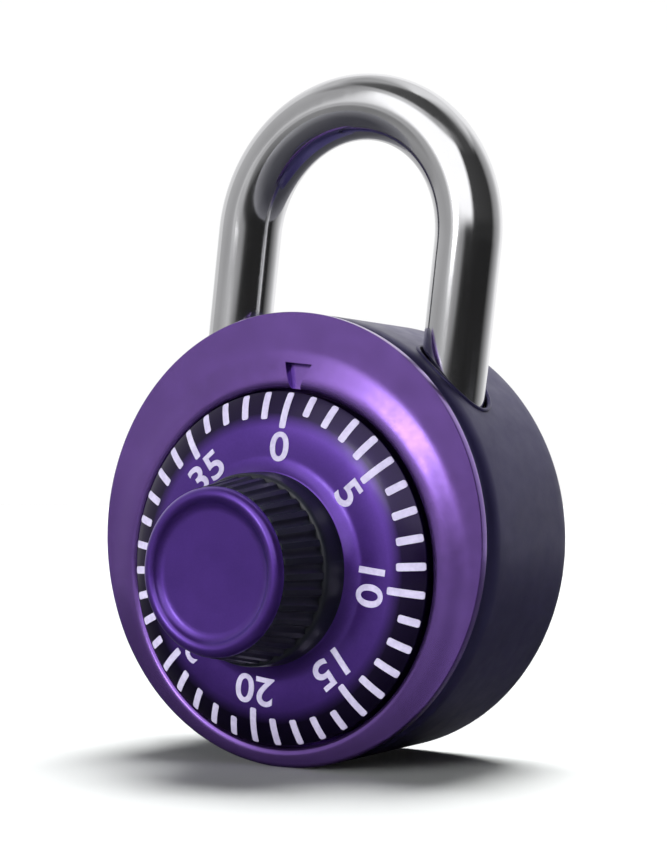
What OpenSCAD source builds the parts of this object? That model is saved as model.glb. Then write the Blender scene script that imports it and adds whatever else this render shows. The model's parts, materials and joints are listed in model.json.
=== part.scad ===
// Round combination padlock with a numbered dial, a knurled knob and a plain steel shackle.
// The dial turns about Y and faces -Y. The shackle stands up along +Z.
// The origin is where the dial axis meets the flat back face.
// "h" is the distance forward of the back face, so h = 5 lies at y = -5.

/* [Case] */
// Diameter of the round case
case_d = 48; // [47:0.5:50]
// Depth of the steel cup, from the back face to its open edge
cup_depth = 17.2; // [17.1:0.1:17.3]
// Wall thickness of the steel cup
wall = 1; // [0.9:0.05:1]
// Rounding of the back edge
back_edge_r = 1.2; // [0.6:0.1:1.6]
// Length along the side of the rounding at the open edge
open_edge_len = 1.8; // [0.8:0.1:2]
// How far the dial axis lies below the centre of the case
axis_drop = 3; // [2.8:0.1:3.1]

/* [Front cover] */
// Height of the cover's flat face over the back face
cover_face = 19.5; // [19.4:0.1:19.7]
// Width of the groove between the cover and the cup
cover_gap = 1.1; // [0.9:0.1:1.1]
// Rounding of the cover's outer edge
cover_edge_r = 0.7; // [0.4:0.1:0.7]
// Height of the raised lip around the dial over the cover's face
lip_rise = 0.5; // [0.4:0.05:0.7]
// Width of the raised lip, from the dial's well to where it runs out in the face
lip_w = 4.2; // [3.8:0.1:4.3]
// Gap between the rim of the dial and the lip
dial_gap = 0.35; // [0.25:0.05:0.45]

/* [Dial and knob] */
// Diameter of the dial
dial_d = 37.2; // [36.8:0.1:37.4]
// Height over the back face of the highest part of the dial's face
dial_face = 21.6; // [21.4:0.05:21.8]
// How far the face falls away from there to the rim of the dial
dial_fall = 1.3; // [1.1:0.05:1.4]
// How far the face flares up to the foot of the knob
flare_rise = 0.7; // [0.4:0.1:0.8]
// Diameter of the knob's foot
foot_d = 20.3; // [19.8:0.1:20.4]
// Diameter of the knob's cap
cap_d = 17.2; // [16.6:0.1:17.4]
// Height of the rim of the knob's cap over the back face
knob_top = 31.7; // [31:0.1:32.5]
// Number of grooves around the grip
grip_grooves = 36; // [24:2:40]

/* [Shackle] */
// Diameter of the shackle bar
bar_d = 7; // [6.9:0.05:7]
// Distance between the centres of the two legs
leg_pitch = 28; // [28:0.1:28.2]
// Clear height of the loop over the case
loop_h = 19.2; // [17:0.2:30]
// How far the shackle rises when it is open
shackle_lift = 12.8; // [12:0.1:12.8]

/* [Lock works] */
// Diameter of the gated discs
disc_d = 20; // [19.4:0.1:20]
// Thickness of a gated disc
disc_t = 1.2; // [1:0.05:1.2]
// Radial play of a turning fit
play = 0.05; // [0.03:0.01:0.08]
// Angle that each driving tab covers
tab_angle = 14; // [10:1:14]

/* [Hidden] */
$fn = 96;
case_r = case_d / 2;
lip_r = dial_d / 2 + dial_gap;
lip_top = cover_face + lip_rise;
cover_back = cup_depth + cover_gap;
cover_back_r = 0.25;
floor_front = 18.1;
register_r = case_r - wall - 0.1;
register_t = 0.8;
plate_back = 15.4;
plate_front = 16.6;
hub_back = plate_front + 0.2;
plate_r = register_r - register_t - 0.1;
liner_r = case_r - wall - 0.05;
liner_t = 0.8;
inner_r = liner_r - liner_t;

bar_r = bar_d / 2;
leg_x = leg_pitch / 2;
leg_h = 11.5;
hole_r = bar_r + 0.5;
case_top = axis_drop + case_r;
bend_z = case_top + loop_h - leg_x + bar_r;
heel_z = 0.8;
toe_z = 13.4;
leg_chamfer = 0.8;
notch_z = 18.1;
notch_depth = 1.2;

spindle_r = 2;
post_r = 3.2;
disc_bore_r = post_r + play;
disc_pitch = 2.2;
disc_front = 14.8;
post_end = 8.2;
flange_r = 4.8;
spacer_r = 4.6;
spacer_t = 0.8;
collar_front = 8;
collar_back = 6.8;
collar_r = 7.7;
tab_r = [5.5, 7.3];
tab_h = 0.8;
// Relative turn between neighbouring tabs at rest, clockwise from the front.
drive_turn = 165;
disc_turn = -15;
gate_x = [-3.5, 0.2];
gate_z = 7.6;

pivot = [-7.5, 10.5];
pivot_r = 1.2;
hub_r = 2.1;
nose = [-1.5, 11.2];
nose_r = 0.9;
arm_top = [-8, 19.8];
arm_r = 1.1;
guide_z = 16.8;
window_x = [-9.6, 8.5];
window_z = 21.6;
spring_z = 19.4;
spring_r = 1.2;
wire_r = 0.28;
spring_turns = 7;
heel_pin_r = 1;
heel_pin_z = guide_z - 0.05 - heel_pin_r - shackle_lift;
post_spots = [[-15, -6], [15, -6], [0, -15.5]];
stand_r = 1.75;

steel = "silver";
dark_steel = [0.25, 0.22, 0.33];
purple = [0.35, 0.22, 0.62];
brass = "goldenrod";

// Points along an arc in the plane, both ends included.
function arc(c, r, a0, a1, n = 8) =
    [for (i = [0:n]) c + r * [cos(a0 + (a1 - a0) * i / n), sin(a0 + (a1 - a0) * i / n)]];

// A solid turned about the dial axis, from a profile of [radius, h].
module turned(profile) {
    rotate([90, 0, 0]) rotate_extrude() polygon(profile);
}

// A flat solid from h0 to h1 with an outline in x and z.
module layer(h0, h1) {
    rotate([90, 0, 0]) translate([0, 0, h0]) linear_extrude(h1 - h0) children();
}

// A round bar parallel to the dial axis at the point p = [x, z].
module pin(p, r, h0, h1) {
    translate([p[0], 0, p[1]]) rotate([90, 0, 0]) translate([0, 0, h0]) cylinder(r = r, h = h1 - h0);
}

// A ring about the dial axis.
module ring(r_in, r_out, h0, h1) {
    turned([[r_in, h0], [r_out, h0], [r_out, h1], [r_in, h1]]);
}

// Upright holes for both shackle legs.
module leg_holes(r, z0, z1) {
    for (side = [-1, 1]) translate([side * leg_x, -leg_h, z0]) cylinder(r = r, h = z1 - z0);
}

// Steel cup that forms the back and the side band of the case.
module rear_case() {
    round_r = wall - 0.1;
    outside = concat(
        [[0, 0]],
        arc([case_r - back_edge_r, back_edge_r], back_edge_r, -90, 0),
        [for (a = [0:15:90]) [case_r - round_r * (1 - cos(a)), cup_depth - open_edge_len * (1 - sin(a))]],
        [[case_r - wall, cup_depth], [case_r - wall, wall], [0, wall]]
    );
    color(dark_steel) difference() {
        translate([0, 0, axis_drop]) turned(outside);
        leg_holes(hole_r, axis_drop, case_top + 1);
    }
}

// Round plate with rounded edges, centred on the case.
module cover_plate(top) {
    translate([0, 0, axis_drop]) turned(concat(
        [[0, cover_back]],
        arc([case_r - cover_back_r, cover_back + cover_back_r], cover_back_r, -90, 0, 4),
        arc([case_r - cover_edge_r, top - cover_edge_r], cover_edge_r, 0, 90),
        [[0, top]]
    ));
}

// Anodised front cover: a round plate set off from the dial axis, with the well for the dial.
// A lip rises sharply at the well and falls away gently into the face.
// Behind the plate, a narrower hub shows as a groove, and its rim reaches into the cup.
module front_cover() {
    crest_r = lip_r + 0.75;
    fall = lip_r + lip_w - crest_r;
    lip = concat(
        [[lip_r - 0.5, cover_face - 0.5], [lip_r + lip_w, cover_face - 0.5]],
        [for (i = [0:8])
            [crest_r + fall * (1 - i / 8), cover_face + lip_rise * (1 - cos(i * 22.5)) / 2]],
        [for (a = [15:15:90])
            [crest_r - 0.75 * sin(a), cover_face + lip_rise - 0.5 * (1 - cos(a))]],
        [[lip_r - 0.5, cover_face - 0.1]]
    );
    color(purple) difference() {
        union() {
            cover_plate(cover_face);
            intersection() {
                turned(lip);
                cover_plate(lip_top);
            }
            pin([0, axis_drop], register_r, hub_back, cover_back + 0.1);
            translate([0, 0, axis_drop])
                ring(register_r - register_t, register_r, plate_back, hub_back + 0.1);
        }
        ring(0, lip_r, floor_front, lip_top + 1);
        pin([0, 0], post_r, hub_back - 1, floor_front + 1);
        index_notch();
    }
}

// Pointed notch in the lip at the top of the dial, which the numbers are read against.
// It is deepest at its broad end, and its floor rises towards the dial.
module index_notch() {
    broad = lip_r + 2.7;
    point = lip_r - 0.5;
    intersection() {
        layer(cover_face - 1, lip_top + 1)
            polygon([[-1.7, broad], [1.7, broad], [0.35, point], [-0.35, point]]);
        translate([-5, -(cover_face - 0.7), broad])
            rotate([-12, 0, 0]) translate([0, -5, -10]) cube([10, 5, 20]);
    }
}

// Second steel wall inside the cup.
module case_liner() {
    color(steel) difference() {
        translate([0, 0, axis_drop]) ring(inner_r, liner_r, wall, plate_back - 0.1);
        leg_holes(hole_r, axis_drop, case_top + 1);
    }
}

// Plate behind the cover that carries the lock works.
module base_plate() {
    color(steel) difference() {
        pin([0, axis_drop], plate_r, plate_back, plate_front);
        pin([0, 0], post_r, plate_back - 1, plate_front + 1);
        pin(pivot, pivot_r, plate_back - 1, plate_front + 1);
    }
}

// Three equal posts that hold the base plate off the back wall.
module stand_posts() {
    color(steel) for (spot = post_spots) pin(spot, stand_r, wall, plate_back);
}

// Block under the top of the case in which both legs slide.
module shackle_guide() {
    back = 6.2;
    color("gray") difference() {
        intersection() {
            pin([0, axis_drop], inner_r - 0.05, back, plate_back);
            layer(back, plate_back) translate([-case_r, guide_z]) square([case_d, case_r]);
        }
        leg_holes(bar_r + 2 * play, guide_z - 1, case_top);
        layer(back - 1, plate_back + 1)
            translate([window_x[0], guide_z - 1])
                square([window_x[1] - window_x[0], window_z - guide_z + 1]);
        layer(leg_h - 1.9, leg_h + 1.9)
            translate([-leg_x, guide_z - 1]) square([leg_x + window_x[0] + 1, 4.4]);
    }
}

// Hollow post on which the discs turn and in which the spindle turns.
module wheel_post() {
    bore_r = spindle_r + play;
    color(brass) turned([
        [bore_r, post_end], [post_r, post_end], [post_r, disc_front + 0.1],
        [flange_r, disc_front + 0.1], [flange_r, plate_back], [post_r, plate_back],
        [post_r, floor_front], [bore_r, floor_front]
    ]);
}

// Equal washers that keep the discs apart.
module disc_spacers() {
    for (i = [0:2]) {
        top = disc_front - disc_t - 0.1 - i * disc_pitch;
        color(brass) ring(post_r, spacer_r, top - spacer_t, top);
    }
}

// Driving tab that starts at the clockwise angle "turn" and stands from h0 to h1.
module tab(turn, h0, h1) {
    rotate([90, 0, 0]) rotate([0, 0, 90 - turn - tab_angle / 2])
        rotate_extrude(angle = tab_angle)
            translate([tab_r[0], h0]) square([tab_r[1] - tab_r[0], h1 - h0]);
}

// Gated disc number i, counted from the driving collar, with a tab on each side that is used.
module gated_disc(i) {
    front = disc_front - (3 - i) * disc_pitch;
    back = front - disc_t;
    rear_turn = i == 1 ? drive_turn : disc_turn;
    difference() {
        ring(disc_bore_r, disc_d / 2, back, front);
        layer(back - 1, front + 1)
            translate([gate_x[0], gate_z]) square([gate_x[1] - gate_x[0], disc_d]);
    }
    tab(rear_turn + 180, back - tab_h, back + 0.1);
    if (i < 3) tab(180, front - 0.1, front + tab_h);
}

module disc_1() {
    color("khaki") gated_disc(1);
}

module disc_2() {
    color("khaki") gated_disc(2);
}

module disc_3() {
    color("khaki") gated_disc(3);
}

// Collar on the inner end of the spindle, whose tab drives the first disc.
module drive_collar() {
    color(brass) {
        turned([
            [spindle_r, collar_back - 1.4], [3.6, collar_back - 1.4], [3.6, collar_back],
            [collar_r, collar_back], [collar_r, collar_front], [spindle_r, collar_front]
        ]);
        tab(180, collar_front - 0.1, collar_front + 1);
    }
}

// Shaft from the knob to the driving collar.
module spindle() {
    color(steel) pin([0, 0], spindle_r, 4.6, knob_top - 2.4);
}

// Ring that keeps the collar on the spindle.
module spindle_clip() {
    color(steel) ring(spindle_r, 3.4, 4.7, collar_back - 1.4);
}

// Washer between the dial and the floor of the well, which steadies the dial.
module friction_washer() {
    color(brass) ring(post_r + 0.1, 6, floor_front, floor_front + 0.4);
}

// Dial: a domed face for the marks and numbers, which flares up to the foot of the knob.
module dial_disc() {
    back = floor_front + 0.4;
    rim_r = dial_d / 2;
    crown_r = 11.9;
    flare_w = crown_r - foot_d / 2;
    profile = concat(
        [[spindle_r, back], [rim_r - 0.2, back], [rim_r, back + 0.2]],
        [for (u = [1:-0.1:0]) [crown_r + (rim_r - crown_r) * u, dial_face - dial_fall * pow(u, 3)]],
        [for (u = [0.2:0.2:1]) [crown_r - flare_w * u, dial_face + flare_rise * u * u]],
        [[spindle_r, dial_face + flare_rise]]
    );
    color(purple) turned(profile);
}

// Knurled grip of the knob, on a smooth foot.
module knob_grip() {
    foot_r = foot_d / 2;
    foot_back = dial_face + flare_rise;
    step = dial_face + 3.7;
    grip_r = [foot_r - 0.5, cap_d / 2 + 0.1];
    top = knob_top - 1;
    lean = atan((grip_r[0] - grip_r[1]) / (top - step));
    color([0.08, 0.08, 0.12]) difference() {
        turned([
            [spindle_r, foot_back], [foot_r, foot_back], [foot_r - 0.25, step - 0.2],
            [foot_r - 0.45, step], [grip_r[0], step], [grip_r[1], top], [spindle_r, top]
        ]);
        for (i = [0:grip_grooves - 1])
            rotate([0, i * 360 / grip_grooves, 0])
                translate([grip_r[0] + 0.25, -step, 0])
                    rotate([90, 0, -lean]) cylinder(r = 0.55, h = top - step + 1, $fn = 16);
    }
}

// Cap of the knob, with a rounded rim around a shallow dish.
module knob_cap() {
    rim_r = cap_d / 2;
    back = knob_top - 1;
    dish = knob_top - 0.75;
    profile = concat(
        [[0, back], [rim_r, back]],
        arc([rim_r - 0.85, knob_top - 0.85], 0.85, 0, 150, 8),
        [[rim_r - 2.3, dish], [0, dish]]
    );
    color(purple) difference() {
        turned(profile);
        ring(0, spindle_r, back - 1, back);
    }
}

// Lever whose beak holds the toe of the shackle and whose nose drops into the gates.
module locking_lever() {
    beak = [[arm_top[0], notch_z - 0.3], [-11.5, notch_z - 0.3], [-11.5, notch_z + 0.5],
        [arm_top[0], notch_z + 1.2]];
    color("orange") difference() {
        union() {
            pin(pivot, hub_r, 7.6, plate_back - 0.1);
            layer(leg_h - 1.5, leg_h + 1.5) {
                hull() {
                    translate(pivot + [0.2, 0]) circle(arm_r, $fn = 32);
                    translate(arm_top) circle(arm_r, $fn = 32);
                }
                polygon(beak);
            }
            layer(disc_front - 5.8, disc_front + 0.2) {
                hull() {
                    translate(pivot + [0.4, 0.7]) circle(1.2, $fn = 32);
                    translate(nose + [0, 1.2]) circle(nose_r, $fn = 32);
                }
                hull() {
                    translate(nose + [0, 1.2]) circle(nose_r, $fn = 32);
                    translate(nose) circle(nose_r, $fn = 32);
                }
            }
        }
        pin(pivot, pivot_r + play, 7, plate_back + 1);
    }
}

// Pin that the lever turns on.
module lever_pin() {
    color(steel) pin(pivot, pivot_r, 6.9, plate_front);
}

// Ring that keeps the lever on its pin.
module lever_clip() {
    color(steel) translate([pivot[0], 0, pivot[1]]) ring(pivot_r, hub_r, 7, 7.5);
}

// Coil spring that presses the beak into the notch.
module lever_spring() {
    start_x = arm_top[0] + arm_r + 0.1;
    steps = spring_turns * 12;
    sides = 6;
    rise = (window_x[1] - start_x - 2 * wire_r) / steps;
    function mid(i) = [
        start_x + wire_r + i * rise,
        -leg_h + spring_r * cos(30 * i),
        spring_z + spring_r * sin(30 * i)
    ];
    function skin(i, j) = mid(i) + wire_r * [
        cos(j * 60),
        sin(j * 60) * cos(30 * i),
        sin(j * 60) * sin(30 * i)
    ];
    points = [for (i = [0:steps]) for (j = [0:sides - 1]) skin(i, j)];
    function at(i, j) = i * sides + j % sides;
    walls = [for (i = [0:steps - 1]) for (j = [0:sides - 1]) for (half = [0, 1])
        half == 0
            ? [at(i, j), at(i, j + 1), at(i + 1, j + 1)]
            : [at(i, j), at(i + 1, j + 1), at(i + 1, j)]
    ];
    ends = [for (j = [1:sides - 2]) for (end = [0, 1])
        end == 0 ? [at(0, 0), at(0, j + 1), at(0, j)] : [at(steps, 0), at(steps, j), at(steps, j + 1)]
    ];
    color(steel) polyhedron(points, concat(walls, ends));
}

// One leg of the shackle, from its chamfered end at z0 up to the bend.
module leg(side, z0) {
    translate([side * leg_x, -leg_h, 0]) {
        translate([0, 0, z0])
            cylinder(r1 = bar_r - leg_chamfer, r2 = bar_r, h = leg_chamfer);
        translate([0, 0, z0 + leg_chamfer])
            cylinder(r = bar_r, h = bend_z - z0 - leg_chamfer);
    }
}

// Bent bar with a long heel leg on the right and a short notched toe leg on the left.
module shackle() {
    side = bar_r - leg_x;
    root = side - notch_depth;
    flank = 0.245;
    low = 10;
    color("gainsboro") difference() {
        union() {
            leg(1, heel_z);
            leg(-1, toe_z);
            translate([0, -leg_h, bend_z]) rotate([90, 0, 0])
                rotate_extrude(angle = 180) translate([leg_x, 0]) circle(bar_r);
        }
        layer(leg_h - bar_r - 1, leg_h + bar_r + 1)
            polygon([
                [root, notch_z - 0.6],
                [root + flank * (notch_z - 0.6 - low), low],
                [side + 3, low],
                [side + 3, notch_z + 0.7 + notch_depth],
                [side, notch_z + 0.7 + notch_depth],
                [root, notch_z + 0.7]
            ]);
        pin([leg_x, heel_pin_z], heel_pin_r, leg_h - bar_r + 0.1, leg_h + bar_r + 1);
        pin([leg_x, heel_pin_z], heel_pin_r, leg_h - bar_r - 1, leg_h);
    }
}

// Cross pin in the heel leg, which stops against the guide block when the shackle is up.
module heel_pin() {
    color(steel) pin([leg_x, heel_pin_z], heel_pin_r, 6.6, leg_h + bar_r - 0.1);
}

rear_case();
front_cover();
case_liner();
base_plate();
stand_posts();
shackle_guide();
wheel_post();
disc_spacers();
disc_1();
disc_2();
disc_3();
drive_collar();
spindle();
spindle_clip();
friction_washer();
dial_disc();
knob_grip();
knob_cap();
locking_lever();
lever_pin();
lever_clip();
lever_spring();
shackle();
heel_pin();
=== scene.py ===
"""Looks of the combination padlock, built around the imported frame."""
import json
import math

import bmesh
import bpy
from mathutils import Matrix, Vector


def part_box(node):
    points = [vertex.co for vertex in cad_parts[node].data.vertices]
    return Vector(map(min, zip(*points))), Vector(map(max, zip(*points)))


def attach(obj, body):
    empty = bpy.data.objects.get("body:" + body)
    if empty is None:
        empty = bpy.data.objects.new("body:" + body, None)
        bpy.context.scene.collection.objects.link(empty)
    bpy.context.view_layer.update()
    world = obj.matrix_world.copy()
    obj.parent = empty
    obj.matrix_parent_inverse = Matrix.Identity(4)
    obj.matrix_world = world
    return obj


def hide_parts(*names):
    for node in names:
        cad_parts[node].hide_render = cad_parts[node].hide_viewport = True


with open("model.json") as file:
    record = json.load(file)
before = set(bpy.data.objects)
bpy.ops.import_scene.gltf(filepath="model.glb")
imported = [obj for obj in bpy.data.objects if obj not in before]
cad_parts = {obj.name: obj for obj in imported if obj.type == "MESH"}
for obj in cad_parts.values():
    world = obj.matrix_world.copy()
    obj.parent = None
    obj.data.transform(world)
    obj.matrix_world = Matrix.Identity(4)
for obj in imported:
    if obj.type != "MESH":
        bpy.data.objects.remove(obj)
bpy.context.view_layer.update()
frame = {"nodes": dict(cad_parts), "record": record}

scene = bpy.context.scene
MM = 0.001


# ---------------------------------------------------------------- places, in millimetres, from the frame

def corner_mm(node):
    low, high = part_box(node)
    return low / MM, high / MM


case_low, case_high = corner_mm("rear_case")
cover_low, _ = corner_mm("front_cover")
dial_low, dial_high = corner_mm("dial_disc")
grip_low, grip_high = corner_mm("knob_grip")
cap_low, cap_high = corner_mm("knob_cap")
bar_low, bar_high = corner_mm("shackle")

CASE_R = (case_high.x - case_low.x) / 2
CASE_Z = (case_high.z + case_low.z) / 2
CUP_H = -case_low.y
WALL = 1.0
BACK_EDGE_R = 1.2
MOUTH_LEN = 1.8
LIP_TOP = -cover_low.y
FACE = LIP_TOP - 0.5
EDGE_R = 0.7
COVER_BACK_R = 0.25
LIP_W = 4.2
LIP_CREST_W = 0.75
COVER_BACK = CUP_H + 1.1
HUB_BACK = 16.8
WELL_FLOOR = 18.1
DIAL_R = dial_high.x
LIP_R = DIAL_R + 0.35
DIAL_BACK = -dial_high.y
FLARE_RISE = 0.7
DIAL_FALL = 1.3
CROWN_R = 11.9
DIAL_FACE = -dial_low.y - FLARE_RISE
FOOT_R = grip_high.x
GRIP_TOP = -grip_low.y
CAP_R = cap_high.x
CAP_TOP = -cap_low.y
BAR_R = (bar_high.y - bar_low.y) / 2
LEG_H = -(bar_high.y + bar_low.y) / 2
LEG_X = bar_high.x - BAR_R
BEND_Z = bar_high.z - LEG_X - BAR_R
HEEL_Z = bar_low.z
TOE_Z = 13.4
LEG_CHAMFER = 0.8
HOLE_R = BAR_R + 0.5
GROOVES = 36
GROOVE_R = 0.55
CAP_RIM_R = 0.85
CAP_DISH = CAP_TOP - 0.75
PAINT_LIFT = 0.05


# ---------------------------------------------------------------- mesh helpers

def finish_mesh(name, bm, sharp=40.0):
    bmesh.ops.remove_doubles(bm, verts=bm.verts, dist=1e-7)
    bmesh.ops.recalc_face_normals(bm, faces=bm.faces)
    mesh = bpy.data.meshes.new(name)
    bm.to_mesh(mesh)
    bm.free()
    for poly in mesh.polygons:
        poly.use_smooth = True
    mesh.set_sharp_from_angle(angle=math.radians(sharp))
    obj = bpy.data.objects.new(name, mesh)
    scene.collection.objects.link(obj)
    return obj


def lofted(name, rows, sharp=40.0, loop_rows=False):
    """A mesh through closed rows of points in millimetres; a row of one point is a pole."""
    bm = bmesh.new()
    made = [[bm.verts.new(Vector(p) * MM) for p in row] for row in rows]
    pairs = list(zip(made, made[1:]))
    if loop_rows:
        pairs.append((made[-1], made[0]))
    for a, b in pairs:
        n = max(len(a), len(b))
        for i in range(n):
            j = (i + 1) % n
            if len(a) == 1:
                bm.faces.new([a[0], b[j], b[i]])
            elif len(b) == 1:
                bm.faces.new([a[i], a[j], b[0]])
            else:
                bm.faces.new([a[i], a[j], b[j], b[i]])
    return finish_mesh(name, bm, sharp)


def turned(name, profile, n=256, centre_z=0.0, sharp=40.0, loop_rows=False):
    """A mesh turned about an axis along Y from a profile of (radius, height over the back face)."""
    rows = []
    for r, h in profile:
        if r < 1e-6:
            rows.append([(0, -h, centre_z)])
        else:
            rows.append([
                (r * math.sin(2 * math.pi * k / n), -h, centre_z + r * math.cos(2 * math.pi * k / n))
                for k in range(n)
            ])
    return lofted(name, rows, sharp, loop_rows)


def filleted(points, steps=6):
    """Rounds each (x, y, radius) corner of an open line and returns (x, y) points."""
    out = []
    last = len(points) - 1
    for i, (x, y, radius) in enumerate(points):
        here = Vector((x, y))
        if i in (0, last) or radius <= 0:
            out.append((x, y))
            continue
        before = (Vector(points[i - 1][:2]) - here).normalized()
        after = (Vector(points[i + 1][:2]) - here).normalized()
        half = before.angle(after) / 2
        cut = radius / math.tan(half)
        start = here + before * cut
        end = here + after * cut
        centre = here + (before + after).normalized() * radius / math.sin(half)
        a0 = math.atan2(start.y - centre.y, start.x - centre.x)
        a1 = math.atan2(end.y - centre.y, end.x - centre.x)
        sweep = (a1 - a0 + math.pi) % (2 * math.pi) - math.pi
        for k in range(steps + 1):
            a = a0 + sweep * k / steps
            out.append((centre.x + radius * math.cos(a), centre.y + radius * math.sin(a)))
    return out


def height_on(profile, r):
    """Greatest height of a profile at the radius r."""
    best = None
    for (r0, h0), (r1, h1) in zip(profile, profile[1:]):
        if min(r0, r1) - 1e-9 <= r <= max(r0, r1) + 1e-9:
            t = 0.5 if abs(r1 - r0) < 1e-9 else (r - r0) / (r1 - r0)
            h = h0 + (h1 - h0) * t
            best = h if best is None else max(best, h)
    return best


def cut(obj, cutter, sharp=30.0):
    """Takes the cutter out of obj and removes the cutter."""
    mod = obj.modifiers.new("cut", "BOOLEAN")
    mod.operation = "DIFFERENCE"
    mod.solver = "EXACT"
    mod.object = cutter
    bpy.context.view_layer.update()
    graph = bpy.context.evaluated_depsgraph_get()
    mesh = bpy.data.meshes.new_from_object(obj.evaluated_get(graph))
    old = obj.data
    obj.modifiers.clear()
    obj.data = mesh
    bpy.data.meshes.remove(old)
    bpy.data.objects.remove(cutter)
    for poly in mesh.polygons:
        poly.use_smooth = True
    mesh.set_sharp_from_angle(angle=math.radians(sharp))
    return obj


def prism(name, outline, h0, h1):
    """A block with an outline of (x, z) between two heights over the back face."""
    bm = bmesh.new()
    near = [bm.verts.new(Vector((x, -h0, z)) * MM) for x, z in outline]
    far = [bm.verts.new(Vector((x, -h1, z)) * MM) for x, z in outline]
    bm.faces.new(near)
    bm.faces.new(list(reversed(far)))
    for i in range(len(outline)):
        j = (i + 1) % len(outline)
        bm.faces.new([near[i], far[i], far[j], near[j]])
    return finish_mesh(name, bm)


def upright(name, x, h, r, z0, z1, n=96):
    """A bar parallel to Z."""
    rows = [[(x, -h, z0)]]
    for z in (z0, z1):
        rows.append([
            (x + r * math.cos(2 * math.pi * k / n), -h + r * math.sin(2 * math.pi * k / n), z)
            for k in range(n)
        ])
    rows.append([(x, -h, z1)])
    return lofted(name, rows)


def tube(name, path, r, n=16):
    """A closed tube of radius r along a closed path of points in millimetres."""
    rows = []
    count = len(path)
    for i, p in enumerate(path):
        p = Vector(p)
        along = (Vector(path[(i + 1) % count]) - Vector(path[i - 1])).normalized()
        side = along.cross(Vector((0, 0, 1))).normalized()
        up = side.cross(along)
        rows.append([
            tuple(p + r * (side * math.cos(2 * math.pi * k / n) + up * math.sin(2 * math.pi * k / n)))
            for k in range(n)
        ])
    return lofted(name, rows, 60, loop_rows=True)


# ---------------------------------------------------------------- node material helpers

class Nodes:
    """A new material with short calls for its nodes."""

    def __init__(self, name):
        self.mat = bpy.data.materials.new(name)
        self.mat.use_nodes = True
        self.tree = self.mat.node_tree
        self.shader = self.tree.nodes["Principled BSDF"]
        self.place = self.add("ShaderNodeTexCoord").outputs["Object"]

    def add(self, kind, **settings):
        node = self.tree.nodes.new(kind)
        for key, value in settings.items():
            setattr(node, key, value)
        return node

    def join(self, a, b):
        self.tree.links.new(a, b)

    def set(self, **inputs):
        for key, value in inputs.items():
            self.shader.inputs[key.replace("_", " ")].default_value = value

    def noise(self, scale, detail=4.0, roughness=0.55, stretch=(1, 1, 1)):
        mapping = self.add("ShaderNodeMapping")
        mapping.inputs["Scale"].default_value = stretch
        self.join(self.place, mapping.inputs["Vector"])
        node = self.add("ShaderNodeTexNoise")
        node.inputs["Scale"].default_value = scale
        node.inputs["Detail"].default_value = detail
        node.inputs["Roughness"].default_value = roughness
        self.join(mapping.outputs["Vector"], node.inputs["Vector"])
        return node.outputs["Fac"]

    def ramp(self, value, stops):
        node = self.add("ShaderNodeValToRGB")
        marks = node.color_ramp.elements
        while len(marks) < len(stops):
            marks.new(0.5)
        for mark, (at, colour) in zip(marks, stops):
            mark.position = at
            mark.color = (*colour, 1) if len(colour) == 3 else colour
        self.join(value, node.inputs["Fac"])
        return node.outputs["Color"]

    def scaled(self, value, low, high, at=(0.3, 0.7)):
        node = self.add("ShaderNodeMapRange")
        node.inputs["From Min"].default_value = at[0]
        node.inputs["From Max"].default_value = at[1]
        node.inputs["To Min"].default_value = low
        node.inputs["To Max"].default_value = high
        self.join(value, node.inputs["Value"])
        return node.outputs["Result"]

    def mixed(self, factor, a, b, blend="MIX"):
        node = self.add("ShaderNodeMix", data_type="RGBA", blend_type=blend)
        for socket, value in ((node.inputs[0], factor), (node.inputs[6], a), (node.inputs[7], b)):
            if hasattr(value, "links"):
                self.join(value, socket)
            elif isinstance(value, tuple):
                socket.default_value = (*value, 1)
            else:
                socket.default_value = value
        return node.outputs[2]

    def bump(self, value, height, strength):
        node = self.add("ShaderNodeBump")
        node.inputs["Strength"].default_value = strength
        node.inputs["Distance"].default_value = height
        self.join(value, node.inputs["Height"])
        return node.outputs["Normal"]

    def wear(self, low, high):
        """Greater near outside edges."""
        geometry = self.add("ShaderNodeNewGeometry")
        return self.scaled(geometry.outputs["Pointiness"], 0.0, 1.0, (low, high))


def dark_outward(m, colour, start, end, share):
    """Painted shade: the colour, falling to a share of itself between two radii about the dial's axis, in
    place of the dark reflection on the dial's sloped rim.
    """
    flat = m.add("ShaderNodeVectorMath", operation="MULTIPLY")
    flat.inputs[1].default_value = (1, 0, 1)
    m.join(m.place, flat.inputs[0])
    reach = m.add("ShaderNodeVectorMath", operation="LENGTH")
    m.join(flat.outputs["Vector"], reach.inputs[0])
    level = m.scaled(reach.outputs["Value"], 0.0, 1.0, (start * MM, end * MM))
    shade = m.ramp(level, [(0.0, (1, 1, 1)), (1.0, (share, share, share))])
    return m.mixed(1.0, colour, shade, "MULTIPLY")


def anodised(name, deep, light, roughness, metallic=0.92, rim=None):
    """Dyed aluminium: a cloudy dye, a very fine grain and a thin clear surface, and, where rim is given,
    painted shade towards the rim.
    """
    m = Nodes(name)
    cloud = m.noise(160, 5, 0.6)
    grain = m.noise(4200, 3, 0.7)
    colour = m.ramp(cloud, [(0.3, deep), (0.7, light)])
    # rim: painted shade, the colour darker towards the dial's rim in place of its dark reflection
    if rim:
        colour = dark_outward(m, colour, *rim)
    speck = m.scaled(grain, 0.94, 1.06, (0.25, 0.75))
    speck_colour = m.add("ShaderNodeCombineColor")
    for channel in ("Red", "Green", "Blue"):
        m.join(speck, speck_colour.inputs[channel])
    speckled = m.mixed(1.0, colour, speck_colour.outputs["Color"], "MULTIPLY")
    m.join(speckled, m.shader.inputs["Base Color"])
    m.join(m.scaled(m.noise(700, 4), roughness - 0.04, roughness + 0.05), m.shader.inputs["Roughness"])
    m.join(m.bump(grain, 0.00001, 0.06), m.shader.inputs["Normal"])
    m.set(Metallic=metallic, Coat_Weight=0.5, Coat_Roughness=0.16, Coat_IOR=1.5)
    return m.mat


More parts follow.
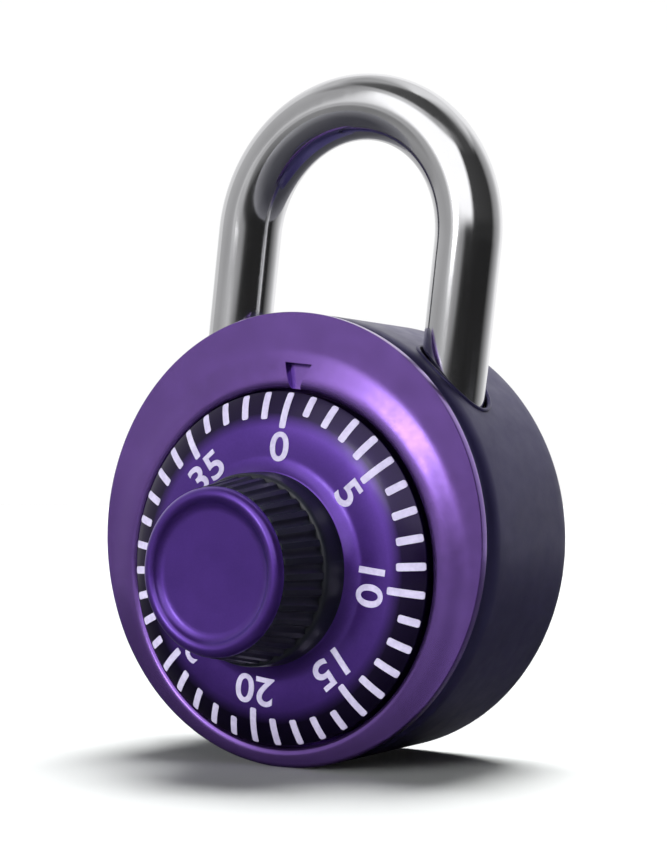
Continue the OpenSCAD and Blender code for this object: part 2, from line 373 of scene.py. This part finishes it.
def coated(name, deep, light, roughness):
    """Dark satin coat on steel, slightly uneven."""
    m = Nodes(name)
    cloud = m.noise(120, 5, 0.6)
    grain = m.noise(3000, 4, 0.7)
    m.join(m.ramp(cloud, [(0.3, deep), (0.7, light)]), m.shader.inputs["Base Color"])
    m.join(m.scaled(m.noise(500, 4), roughness - 0.05, roughness + 0.06), m.shader.inputs["Roughness"])
    m.join(m.bump(grain, 0.00003, 0.25), m.shader.inputs["Normal"])
    m.set(Metallic=0.6, Coat_Weight=0.2, Coat_Roughness=0.3)
    return m.mat


def polished(name, colour, roughness):
    """Bright plated bar with faint draw lines and a few scuffs."""
    m = Nodes(name)
    lines = m.noise(900, 4, 0.6, stretch=(1, 1, 0.06))
    cloud = m.noise(130, 3)
    tone = m.ramp(cloud, [(0.3, tuple(0.93 * c for c in colour)), (0.7, colour)])
    m.join(tone, m.shader.inputs["Base Color"])
    m.join(m.scaled(lines, roughness, roughness + 0.09, (0.35, 0.75)), m.shader.inputs["Roughness"])
    m.join(m.bump(lines, 0.00001, 0.08), m.shader.inputs["Normal"])
    m.set(Metallic=1.0)
    return m.mat


def moulded(name, deep, light, roughness):
    """Black moulded plastic with a fine texture and paler worn edges."""
    m = Nodes(name)
    cloud = m.noise(240, 4)
    grain = m.noise(2600, 4, 0.7)
    base = m.ramp(cloud, [(0.3, deep), (0.7, light)])
    edge = m.mixed(m.wear(0.52, 0.62), base, tuple(2.2 * c for c in light))
    m.join(edge, m.shader.inputs["Base Color"])
    m.join(m.scaled(grain, roughness - 0.05, roughness + 0.08), m.shader.inputs["Roughness"])
    m.join(m.bump(grain, 0.00003, 0.2), m.shader.inputs["Normal"])
    m.set(Coat_Weight=0.12, Coat_Roughness=0.2)
    return m.mat


def paint(name, deep, light):
    """Pale paint in the marks, a little uneven."""
    m = Nodes(name)
    cloud = m.noise(1400, 4)
    m.join(m.ramp(cloud, [(0.3, deep), (0.7, light)]), m.shader.inputs["Base Color"])
    m.join(m.scaled(m.noise(2500, 3), 0.38, 0.55), m.shader.inputs["Roughness"])
    m.join(m.bump(cloud, 0.00003, 0.3), m.shader.inputs["Normal"])
    return m.mat


def plain_metal(name, deep, light, roughness, streak=(1, 1, 1)):
    """Unseen works: cut and plated metal with tool marks."""
    m = Nodes(name)
    lines = m.noise(1500, 4, 0.6, stretch=streak)
    m.join(m.ramp(m.noise(200, 4), [(0.3, deep), (0.7, light)]), m.shader.inputs["Base Color"])
    m.join(m.scaled(lines, roughness - 0.06, roughness + 0.1), m.shader.inputs["Roughness"])
    m.join(m.bump(lines, 0.00002, 0.3), m.shader.inputs["Normal"])
    m.set(Metallic=1.0)
    return m.mat


COVER_FINISH = anodised("purple_anodised", (0.20, 0.096, 0.42), (0.24, 0.118, 0.50), 0.22)
# The dial gets painted shade past 14.9 mm: darker towards its rim in place of the dark reflection there.
DIAL_FINISH = anodised(
    "purple_dial", (0.115, 0.044, 0.36), (0.14, 0.054, 0.42), 0.33, rim=(14.9, 16.3, 0.13)
)
CASE_FINISH = coated("case_finish", (0.027, 0.022, 0.082), (0.038, 0.031, 0.105), 0.42)
GRIP_FINISH = moulded("black_grip", (0.004, 0.005, 0.010), (0.008, 0.009, 0.017), 0.38)
BAR_FINISH = polished("shackle_chrome", (0.80, 0.80, 0.82), 0.07)
PAINT = paint("dial_paint", (0.50, 0.45, 0.66), (0.64, 0.59, 0.80))
STEEL = plain_metal("plain_steel", (0.48, 0.49, 0.52), (0.60, 0.61, 0.63), 0.3, (1, 1, 0.1))
BRASS = plain_metal("brass_parts", (0.66, 0.47, 0.20), (0.80, 0.60, 0.28), 0.28, (1, 0.1, 1))
ALLOY = plain_metal("cast_alloy", (0.42, 0.43, 0.46), (0.54, 0.55, 0.57), 0.45)


def dress(obj, material):
    obj.data.materials.clear()
    obj.data.materials.append(material)


for name, node in frame["nodes"].items():
    slot = next(s["material_slot"] for s in frame["record"]["subparts"] if s["node"] == name)
    dress(node, {
        "case_finish": CASE_FINISH, "purple_anodised": COVER_FINISH, "purple_dial": DIAL_FINISH,
        "black_grip": GRIP_FINISH, "shackle_chrome": BAR_FINISH, "plain_steel": STEEL,
        "brass_parts": BRASS, "cast_alloy": ALLOY,
    }[slot])


def place(obj, material, body, node=None):
    dress(obj, material)
    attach(obj, body)
    if node:
        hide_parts(node)


# ---------------------------------------------------------------- case

def leg_sides():
    return ((-1, "toe"), (1, "heel"))


def make_cup():
    """Steel cup with a soft mouth, two holes for the legs and a thin rim around each hole."""
    r, h, w = CASE_R, CUP_H, WALL
    corner = filleted([(0, 0, 0), (r, 0, BACK_EDGE_R), (r, h, 0)])[1:-1]
    band = [(r, corner[-1][1] + (h - MOUTH_LEN - corner[-1][1]) * k / 14) for k in range(1, 14)]
    mouth = []
    for k in range(13):
        a = math.pi / 2 * k / 12
        mouth.append((r - (w - 0.1) * (1 - math.cos(a)), h - MOUTH_LEN * (1 - math.sin(a))))
    inner = [(r - w, h - (h - w) * k / 10) for k in range(11)]
    profile = [(0, 0)] + corner + band + mouth + inner + [(0, w)]
    cup = turned("steel_cup", profile, 288, CASE_Z, 35)
    for side, _ in leg_sides():
        cut(cup, upright("bit", side * LEG_X, LEG_H, HOLE_R, CASE_Z, CASE_Z + CASE_R + 2), 35)
    place(cup, CASE_FINISH, "case", "rear_case")
    for side, label in leg_sides():
        path = []
        for k in range(120):
            a = 2 * math.pi * k / 120
            x = side * LEG_X + HOLE_R * math.cos(a)
            path.append((x, -LEG_H + HOLE_R * math.sin(a), CASE_Z + math.sqrt(CASE_R ** 2 - x * x) - 0.06))
        rim = tube(label + "_hole_rim", path, 0.24)
        place(rim, CASE_FINISH, "case")


def cover_height(rho, raise_by=0.0):
    """Height of the cover at a distance from the middle of the case, with its edge rounded."""
    over = rho - (CASE_R - EDGE_R)
    if over <= 0:
        return FACE + raise_by
    return FACE + raise_by - EDGE_R + math.sqrt(max(0.0, EDGE_R ** 2 - over ** 2))


def lip_height(t):
    """Height of the lip at a distance from the dial's axis: a round crest, then a gentle fall."""
    crest, foot = LIP_R + LIP_CREST_W, LIP_R + LIP_W
    if t <= crest:
        u = (crest - t) / LIP_CREST_W
        return LIP_TOP - 0.5 * (1 - math.sqrt(max(0.0, 1 - u * u)))
    if t >= foot:
        return FACE
    return FACE + (LIP_TOP - FACE) * (1 + math.cos(math.pi * (t - crest) / (foot - crest))) / 2


def make_cover():
    """Cover of columns around the dial's axis, with a lip about the dial and an edge about the case."""
    n = 288
    crest, foot = LIP_R + LIP_CREST_W, LIP_R + LIP_W
    columns = []
    for k in range(n):
        a = 2 * math.pi * k / n
        ca, sa = math.cos(a), math.sin(a)

        def t_at(rho):
            return CASE_Z * ca + math.sqrt(rho * rho - (CASE_Z * sa) ** 2)

        face_end = t_at(CASE_R - EDGE_R)
        line = [(3.2, HUB_BACK), (3.2, WELL_FLOOR), (LIP_R - 0.4, WELL_FLOOR), (LIP_R, WELL_FLOOR + 0.4)]
        for j in range(9):
            t = crest - LIP_CREST_W * math.cos(math.pi / 2 * j / 8)
            line.append((t, lip_height(t)))
        flank_end = min(foot, face_end - 0.05)
        for j in range(1, 13):
            t = crest + (flank_end - crest) * j / 12
            line.append((t, max(lip_height(t), FACE)))
        for j in range(1, 4):
            t = flank_end + (face_end - flank_end) * j / 3
            line.append((t, max(FACE, min(lip_height(t), LIP_TOP))))
        for j in range(1, 9):
            rho = CASE_R - EDGE_R + EDGE_R * math.sin(math.pi / 2 * j / 8)
            t = t_at(rho)
            low = cover_height(rho)
            high = cover_height(rho, LIP_TOP - FACE)
            line.append((t, max(low, min(lip_height(t), high))))
        for j in range(5):
            turn = math.pi / 2 * j / 4
            rho = CASE_R - COVER_BACK_R * (1 - math.cos(turn))
            line.append((t_at(rho), COVER_BACK + COVER_BACK_R * (1 - math.sin(turn))))
        hub, rim = t_at(CASE_R - WALL - 0.1), t_at(CASE_R - WALL - 0.9)
        line += [(hub + 0.12, COVER_BACK), (hub, COVER_BACK - 0.12), (hub, HUB_BACK - 1.4)]
        line += [(rim, HUB_BACK - 1.4), (rim, HUB_BACK)]
        columns.append([(t * sa, -h, t * ca) for t, h in line])
    rows = [[col[i] for col in columns] for i in range(len(columns[0]))]
    cover = lofted("purple_cover", rows, 38, loop_rows=True)
    cut(cover, notch_bit(), 38)
    place(cover, COVER_FINISH, "case", "front_cover")


def notch_bit():
    """Cutter of the index notch, deepest at its broad end."""
    broad, point = LIP_R + 2.7, LIP_R - 0.5
    deep = FACE - 0.7
    rise = (broad - point) * math.tan(math.radians(12))
    bm = bmesh.new()
    floor = [
        (-1.7, deep, broad), (1.7, deep, broad), (0.35, deep + rise, point), (-0.35, deep + rise, point),
    ]
    top = [(x, LIP_TOP + 1, z) for x, _, z in floor]
    a = [bm.verts.new(Vector((x, -h, z)) * MM) for x, h, z in floor]
    b = [bm.verts.new(Vector((x, -h, z)) * MM) for x, h, z in top]
    bm.faces.new(a)
    bm.faces.new(list(reversed(b)))
    for i in range(4):
        j = (i + 1) % 4
        bm.faces.new([a[i], b[i], b[j], a[j]])
    return finish_mesh("bit", bm)


# ---------------------------------------------------------------- dial, numbers and knob

def dial_face_line():
    """The domed face from its rim to the crown, and the flare up to the foot of the knob."""
    for k in range(29):
        u = 1 - k / 28
        yield CROWN_R + (DIAL_R - CROWN_R) * u, DIAL_FACE - DIAL_FALL * u ** 3
    for k in range(1, 13):
        u = k / 12
        yield CROWN_R - (CROWN_R - FOOT_R) * u, DIAL_FACE + FLARE_RISE * u * u


FACE_LINE = list(dial_face_line())
DIAL_LINE = filleted([
    (2, DIAL_BACK, 0), (DIAL_R, DIAL_BACK, 0.2), (*FACE_LINE[0], 0.08), (*FACE_LINE[1], 0),
], 7) + FACE_LINE[2:] + [(2, FACE_LINE[-1][1])]


def make_dial():
    dial = turned("purple_dial", DIAL_LINE, 288, 0, 50, loop_rows=True)
    place(dial, DIAL_FINISH, "dial", "dial_disc")


def tick_points(a, r_in, r_out, half):
    """Rows of points of a mark with rounded corners, that lies on the dial at the angle a."""
    out = []
    along = [0, 0.01, 0.03, 0.06, 0.1, 0.16, 0.3, 0.4, 0.5, 0.6, 0.7, 0.84, 0.9, 0.94, 0.97, 0.99, 1]
    section = [
        (-1, -PAINT_LIFT), (-0.97, 0.03), (-0.5, PAINT_LIFT), (0, PAINT_LIFT), (0.5, PAINT_LIFT),
        (0.97, 0.03), (1, -PAINT_LIFT),
    ]
    sa, ca = math.sin(a), math.cos(a)
    for f in along:
        r = r_in + (r_out - r_in) * f
        end = min(r - r_in, r_out - r)
        round_r = 0.6 * half
        width = half
        if end < round_r:
            width -= round_r - math.sqrt(round_r ** 2 - (round_r - end) ** 2)
        row = []
        for side, lift in section:
            u = side * width
            level = -PAINT_LIFT if f in (0, 1) else lift
            h = height_on(DIAL_LINE, math.hypot(r, u)) + level
            row.append((r * sa + u * ca, -h, r * ca - u * sa))
        out.append(row)
    return out


def make_marks():
    """Forty painted marks, a long one at each number."""
    inner = [14.75, 16.4, 16.1, 15.9, 15.65]
    bm = bmesh.new()
    for i in range(40):
        half = 0.40 if i % 5 == 0 else 0.42
        rows = tick_points(math.radians(9 * i), inner[i % 5], DIAL_R - 0.03, half)
        made = [[bm.verts.new(Vector(p) * MM) for p in row] for row in rows]
        for a, b in zip(made, made[1:]):
            for j in range(len(a) - 1):
                bm.faces.new([a[j], a[j + 1], b[j + 1], b[j]])
    marks = finish_mesh("dial_marks", bm, 60)
    place(marks, PAINT, "dial")


def make_number(value, size_mm, middle_r):
    """A painted number, with its top outward, that follows the dial's surface."""
    curve = bpy.data.curves.new("number", "FONT")
    curve.body = str(value)
    curve.size = 1.0
    curve.offset = 0.018
    curve.align_x = "CENTER"
    curve.space_character = 1.02
    holder = bpy.data.objects.new("number", curve)
    scene.collection.objects.link(holder)
    bpy.context.view_layer.update()
    mesh = bpy.data.meshes.new_from_object(holder.evaluated_get(bpy.context.evaluated_depsgraph_get()))
    bpy.data.objects.remove(holder)
    bm = bmesh.new()
    bm.from_mesh(mesh)
    bpy.data.meshes.remove(mesh)
    low = min(v.co.y for v in bm.verts)
    high = max(v.co.y for v in bm.verts)
    left = min(v.co.x for v in bm.verts)
    right = max(v.co.x for v in bm.verts)
    scale = size_mm / (high - low)
    for v in bm.verts:
        v.co.x = (v.co.x - (left + right) / 2) * scale * 1.17
        v.co.y = (v.co.y - (low + high) / 2) * scale
        v.co.z = 0
    step = 0.3
    for axis in (0, 1):
        at = -4.0
        while at < 4.0:
            point = [0, 0, 0]
            normal = [0, 0, 0]
            point[axis] = at
            normal[axis] = 1
            bmesh.ops.bisect_plane(
                bm, geom=bm.verts[:] + bm.edges[:] + bm.faces[:], plane_co=point, plane_no=normal
            )
            at += step
    walls = bmesh.ops.extrude_face_region(bm, geom=bm.faces[:])
    raised = {v for v in walls["geom"] if isinstance(v, bmesh.types.BMVert)}
    a = math.radians(9 * value)
    sa, ca = math.sin(a), math.cos(a)
    for v in bm.verts:
        u, r = v.co.x, middle_r + v.co.y
        h = height_on(DIAL_LINE, math.hypot(r, u)) + (PAINT_LIFT if v in raised else -PAINT_LIFT)
        v.co = Vector((r * sa + u * ca, -h, r * ca - u * sa)) * MM
    obj = finish_mesh(f"number_{value:02d}", bm, 60)
    place(obj, PAINT, "dial")


def make_grip():
    """Grip with round grooves along it, on a smooth foot."""
    per = 16
    n = GROOVES * per
    low_r, high_r = FOOT_R - 0.5, CAP_R + 0.1
    step_h = DIAL_FACE + 3.7
    pitch = 2 * math.pi * low_r / GROOVES

    def row(r, h, depth):
        out = []
        for k in range(n):
            a = 2 * math.pi * k / n
            off = ((k / per + 0.5) % 1 - 0.5) * pitch
            wave = 0.25 - math.sqrt(max(GROOVE_R ** 2 - off * off, 0.25 ** 2))
            out.append(((r + wave * depth) * math.sin(a), -h, (r + wave * depth) * math.cos(a)))
        return out

    back = -grip_high.y
    rows = [[(0, -back, 0)], row(FOOT_R - 0.1, back, 0), row(FOOT_R, back + 0.12, 0)]
    rows += [row(FOOT_R - 0.02, back + 0.6, 0), row(FOOT_R - 0.14, step_h - 0.45, 0)]
    rows += [row(FOOT_R - 0.22, step_h - 0.2, 0), row(FOOT_R - 0.34, step_h - 0.06, 0)]
    rows += [row(FOOT_R - 0.45, step_h, 0), row(low_r, step_h + 0.02, 1)]
    for k in range(1, 9):
        f = k / 8
        rows.append(row(low_r + (high_r - low_r) * f * 0.96, step_h + (GRIP_TOP - step_h - 0.25) * f, 1))
    rows += [row(high_r, GRIP_TOP - 0.12, 0.8), row(high_r - 0.15, GRIP_TOP, 0.4), [(0, -GRIP_TOP, 0)]]
    grip = lofted("ribbed_grip", rows, 42)
    place(grip, GRIP_FINISH, "dial", "knob_grip")


def make_cap():
    """Cap with a round rim around a shallow dish."""
    profile = [(0, GRIP_TOP), (CAP_R - 0.1, GRIP_TOP), (CAP_R, GRIP_TOP + 0.08)]
    for k in range(13):
        a = math.radians(150 * k / 12)
        profile.append((
            CAP_R - CAP_RIM_R + CAP_RIM_R * math.cos(a), CAP_TOP - CAP_RIM_R + CAP_RIM_R * math.sin(a)
        ))
    profile += [(CAP_R - 1.95, CAP_DISH + 0.1), (CAP_R - 2.25, CAP_DISH + 0.02)]
    profile += [(CAP_R - 2.6, CAP_DISH), (0, CAP_DISH)]
    cap = turned("knob_face", profile, 192, 0, 50)
    place(cap, DIAL_FINISH, "dial", "knob_cap")


# ---------------------------------------------------------------- shackle

def make_bar():
    """Bent bar from the heel leg's foot over the bend to the notched toe."""
    n = 96
    rows = []

    def leg_row(side, z, r):
        return [
            (side * (LEG_X + r * math.cos(turn)), -LEG_H + r * math.sin(turn), z)
            for turn in (2 * math.pi * k / n for k in range(n))
        ]

    rows.append([(LEG_X, -LEG_H, HEEL_Z)])
    rows.append(leg_row(1, HEEL_Z, BAR_R - LEG_CHAMFER))
    rows.append(leg_row(1, HEEL_Z + LEG_CHAMFER, BAR_R))
    for k in range(1, 12):
        z = HEEL_Z + LEG_CHAMFER + (BEND_Z - HEEL_Z - LEG_CHAMFER) * k / 12
        rows.append(leg_row(1, z, BAR_R))
    for k in range(65):
        a = math.pi * k / 64
        rows.append([
            (
                (LEG_X + BAR_R * math.cos(2 * math.pi * i / n)) * math.cos(a),
                -LEG_H + BAR_R * math.sin(2 * math.pi * i / n),
                BEND_Z + (LEG_X + BAR_R * math.cos(2 * math.pi * i / n)) * math.sin(a),
            )
            for i in range(n)
        ])
    for k in range(1, 12):
        rows.append(leg_row(-1, BEND_Z + (TOE_Z + LEG_CHAMFER - BEND_Z) * k / 12, BAR_R))
    rows.append(leg_row(-1, TOE_Z + LEG_CHAMFER, BAR_R))
    rows.append(leg_row(-1, TOE_Z, BAR_R - LEG_CHAMFER))
    rows.append([(-LEG_X, -LEG_H, TOE_Z)])
    bar = lofted("shackle_bar", rows, 30)
    inside = BAR_R - LEG_X
    root = inside - 1.2
    notch = 18.1
    outline = [
        (root, notch - 0.6), (root + 0.245 * (notch - 10.6), 10), (inside + 3, 10),
        (inside + 3, notch + 1.9), (inside, notch + 1.9), (root, notch + 0.7),
    ]
    cut(bar, prism("bit", outline, LEG_H - BAR_R - 1, LEG_H + BAR_R + 1), 30)
    place(bar, BAR_FINISH, "shackle_bar", "shackle")


make_cup()
make_cover()
make_dial()
make_marks()
for number in range(0, 40, 5):
    make_number(number, 3.1, 12.85)
make_grip()
make_cap()
make_bar()


# ---------------------------------------------------------------- camera, floor and light

LEAN = math.radians(7.2)
UP = Vector((-math.sin(LEAN), 0, math.cos(LEAN)))
SIDE = Vector((math.cos(LEAN), 0, math.sin(LEAN)))
BACK = Vector((0, 1, 0))
CENTRE = Vector((0, -12, CASE_Z)) * MM


def make_camera():
    yaw, pitch, roll = (math.radians(a) for a in (32.691, 4.291, 6.009))
    forward = Vector((-math.sin(yaw) * math.cos(pitch), math.cos(yaw) * math.cos(pitch), -math.sin(pitch)))
    level = Vector((math.cos(yaw), math.sin(yaw), 0))
    over = level.cross(forward)
    right = math.cos(roll) * level + math.sin(roll) * over
    up = math.cos(roll) * over - math.sin(roll) * level
    eye = Vector((2.807, -12.0, 6.954)) * MM - forward * 190.318 * MM
    data = bpy.data.cameras.new("camera")
    data.sensor_width = data.sensor_height = 36
    data.lens = 75.50
    data.shift_x = -0.0151
    data.shift_y = 0.1013
    data.clip_start = 0.005
    data.clip_end = 50
    camera = bpy.data.objects.new("camera", data)
    turn = Matrix((right, up, -forward)).transposed()
    camera.matrix_world = Matrix.Translation(eye) @ turn.to_4x4()
    scene.collection.objects.link(camera)
    scene.camera = camera


def make_floor():
    """Pale floor that the lock stands on, square to the lean of the lock."""
    touch = CENTRE - UP * CASE_R * MM
    size = 8.0
    bm = bmesh.new()
    corners = [touch + SIDE * a * size + BACK * b * size for a, b in ((-1, -1), (1, -1), (1, 1), (-1, 1))]
    bm.faces.new([bm.verts.new(c) for c in corners])
    floor = finish_mesh("floor", bm)
    m = Nodes("floor_finish")
    cloud = m.noise(6, 3)
    tone = m.ramp(cloud, [(0.3, (0.62, 0.635, 0.63)), (0.7, (0.65, 0.665, 0.66))])
    m.join(tone, m.shader.inputs["Base Color"])
    m.join(m.scaled(m.noise(60, 3), 0.5, 0.6), m.shader.inputs["Roughness"])
    dress(floor, m.mat)
    floor.visible_glossy = False


def make_card():
    """Painted shadow of the lock on the floor: a dark card around the lock that only the reflections see,
    darkest near the lock and less dark farther out.
    """
    touch = CENTRE - UP * (CASE_R - 0.05) * MM
    bm = bmesh.new()
    bm.faces.new([
        bm.verts.new(touch + (SIDE * math.cos(a) + BACK * math.sin(a)) * 0.26)
        for a in (math.radians(3 * k) for k in range(120))
    ])
    shadow_card = finish_mesh("shadow_card", bm)
    m = Nodes("shadow_card_finish")
    away = m.add("ShaderNodeVectorMath", operation="DISTANCE")
    away.inputs[1].default_value = touch
    m.join(m.place, away.inputs[0])
    level = m.scaled(away.outputs["Value"], 0.0, 1.0, (0.10, 0.26))
    # painted shadow: near black within 0.1 m of the lock, fading to dark grey at the card's edge
    shadow_tone = m.ramp(m.noise(40, 3), [(0.3, (0.015, 0.015, 0.02)), (0.7, (0.022, 0.022, 0.027))])
    m.join(m.mixed(level, shadow_tone, (0.10, 0.10, 0.11)), m.shader.inputs["Base Color"])
    m.join(m.scaled(m.noise(60, 3), 0.5, 0.6), m.shader.inputs["Roughness"])
    dress(shadow_card, m.mat)
    shadow_card.visible_camera = False
    shadow_card.visible_diffuse = False
    shadow_card.visible_shadow = False


def make_backdrop():
    """White studio dome that only the camera sees, so that only the soft light is mirrored."""
    bm = bmesh.new()
    bmesh.ops.create_uvsphere(bm, u_segments=48, v_segments=24, radius=4.0)
    dome = finish_mesh("backdrop", bm)
    m = Nodes("backdrop_finish")
    m.tree.nodes.remove(m.shader)
    glow = m.add("ShaderNodeEmission")
    m.join(m.ramp(m.noise(0.05, 2), [(0.2, (0.98, 0.98, 0.98)), (0.8, (1, 1, 1))]), glow.inputs["Color"])
    glow.inputs["Strength"].default_value = 1.02
    m.join(glow.outputs["Emission"], m.tree.nodes["Material Output"].inputs["Surface"])
    dress(dome, m.mat)
    dome.visible_diffuse = False
    dome.visible_glossy = False
    dome.visible_transmission = False
    dome.visible_shadow = False


def around(azimuth):
    """Place on a round ramp of a direction, counted from the front (-Y) towards +X in degrees."""
    return (0.25 + azimuth / 360) % 1


# Brightness of the studio around the lock, from straight below to the ceiling: the span of the
# direction's height in which each belt takes over from the one before, and its levels by azimuth.
STUDIO = [
    (-1, -1, [(-90, 0.05), (90, 0.05)]),
    (-0.87, -0.70, [
        (-150, 0.3), (-100, 0.12), (-60, 0.06), (-25, 0.06), (-6, 0.15), (10, 0.18), (25, 0.12), (40, 0.02),
        (110, 0.02), (135, 0.23), (180, 0.35),
    ]),
    (-0.58, -0.45, [
        (-146, 0.68), (-114, 0.5), (-90, 0.28), (-60, 0.34), (-39, 0.22), (-28, 0.27), (-16, 0.2), (-2, 0.04),
        (22, 0.03), (35, 0.02), (115, 0.02), (130, 0.2), (150, 0.5), (175, 0.95),
    ]),
    (-0.03, 0.03, [
        (-146, 1.0), (-110, 0.6), (-86, 0.42), (-55, 0.38), (-30, 0.48), (-20, 0.48), (-9, 0.4), (10, 0.3),
        (21, 0.06), (30, 0.03), (115, 0.03), (128, 0.25), (150, 0.5), (172, 1.0),
    ]),
    (0.10, 0.22, [
        (-140, 1.0), (-110, 0.76), (-86, 0.5), (-45, 0.4), (-36, 0.42), (-28, 1.3), (38, 1.3), (48, 0.06),
        (115, 0.04), (128, 0.3), (150, 0.5), (172, 1.0),
    ]),
    (0.70, 0.78, [
        (-120, 0.6), (-61, 0.24), (-38, 0.41), (-18, 0.66), (0, 0.6), (17, 0.4), (30, 0.45), (47, 0.2),
        (70, 0.07), (100, 0.07), (121, 0.35), (140, 0.73), (180, 0.85),
    ]),
    (0.82, 0.88, [
        (-120, 0.4), (-60, 0.12), (-30, 0.08), (78, 0.06), (100, 0.1), (133, 0.52), (166, 0.85), (195, 0.85),
    ]),
]


def make_world():
    """Soft studio light: grey panels at the left and back, a bright one in front, darkness at the right."""
    world = bpy.data.worlds.new("studio")
    world.use_nodes = True
    tree = world.node_tree
    sky = tree.nodes["Background"]

    def add(kind, **settings):
        node = tree.nodes.new(kind)
        for key, value in settings.items():
            setattr(node, key, value)
        return node

    turn = add("ShaderNodeMapping")
    turn.inputs["Rotation"].default_value = (0, LEAN, 0)
    tree.links.new(add("ShaderNodeTexCoord").outputs["Generated"], turn.inputs["Vector"])
    radial = add("ShaderNodeTexGradient", gradient_type="RADIAL")
    tree.links.new(turn.outputs["Vector"], radial.inputs["Vector"])
    split = add("ShaderNodeSeparateXYZ")
    tree.links.new(turn.outputs["Vector"], split.inputs["Vector"])

    def belt(stops):
        node = add("ShaderNodeValToRGB")
        marks = node.color_ramp.elements
        placed = sorted((around(azimuth), level) for azimuth, level in stops)
        placed = [(0.0, placed[-1][1])] + placed + [(1.0, placed[-1][1])]
        while len(marks) < len(placed):
            marks.new(0.5)
        for mark, (at, level) in zip(marks, placed):
            mark.position = at
            mark.color = (level, level, level, 1)
        tree.links.new(radial.outputs["Fac"], node.inputs["Fac"])
        return node.outputs["Color"]

    def blend(low, high, z0, z1):
        share = add("ShaderNodeMapRange", interpolation_type="SMOOTHSTEP")
        share.inputs["From Min"].default_value = z0
        share.inputs["From Max"].default_value = z1
        tree.links.new(split.outputs["Z"], share.inputs["Value"])
        mix = add("ShaderNodeMix", data_type="RGBA")
        tree.links.new(share.outputs["Result"], mix.inputs[0])
        tree.links.new(low, mix.inputs[6])
        tree.links.new(high, mix.inputs[7])
        return mix.outputs[2]

    light = belt(STUDIO[0][2])
    for low, high, stops in STUDIO[1:]:
        light = blend(light, belt(stops), low, high)
    tree.links.new(light, sky.inputs["Color"])
    sky.inputs["Strength"].default_value = 1.0
    scene.world = world
    world.cycles_visibility.diffuse = False


def lamp(name, azimuth, elevation, distance, width, height, power, colour=(1, 1, 1)):
    """Soft rectangular light that faces the lock."""
    a, e = math.radians(azimuth), math.radians(elevation)
    out = math.cos(e) * (math.sin(a) * SIDE - math.cos(a) * BACK) + math.sin(e) * UP
    data = bpy.data.lights.new(name, "AREA")
    data.shape = "RECTANGLE"
    data.size = width
    data.size_y = height
    data.energy = power
    data.color = colour
    obj = bpy.data.objects.new(name, data)
    turn = out.to_track_quat("Z", "Y").to_matrix().to_4x4()
    obj.matrix_world = Matrix.Translation(CENTRE + out * distance) @ turn
    scene.collection.objects.link(obj)
    return obj


def make_sun(name, azimuth, elevation, power, spread):
    """Far soft light that gives soft shadows and isn't mirrored in the metal."""
    a, e = math.radians(azimuth), math.radians(elevation)
    out = math.cos(e) * (math.sin(a) * SIDE - math.cos(a) * BACK) + math.sin(e) * UP
    data = bpy.data.lights.new(name, "SUN")
    data.energy = power
    data.angle = math.radians(spread)
    obj = bpy.data.objects.new(name, data)
    obj.matrix_world = out.to_track_quat("Z", "Y").to_matrix().to_4x4()
    obj.visible_glossy = False
    scene.collection.objects.link(obj)


def make_light():
    make_backdrop()
    make_world()
    make_sun("overhead", 188, 74, 6.2, 34)
    make_sun("front_key", 28, 48, 0.35, 20)
    make_sun("front_fill", -14, 10, 2.1, 25)
    lamp("front_softbox", -13.6, 16, 0.7, 0.17, 0.17, 0.36)
    scene.view_settings.view_transform = "Standard"


make_camera()
make_floor()
make_card()
make_light()
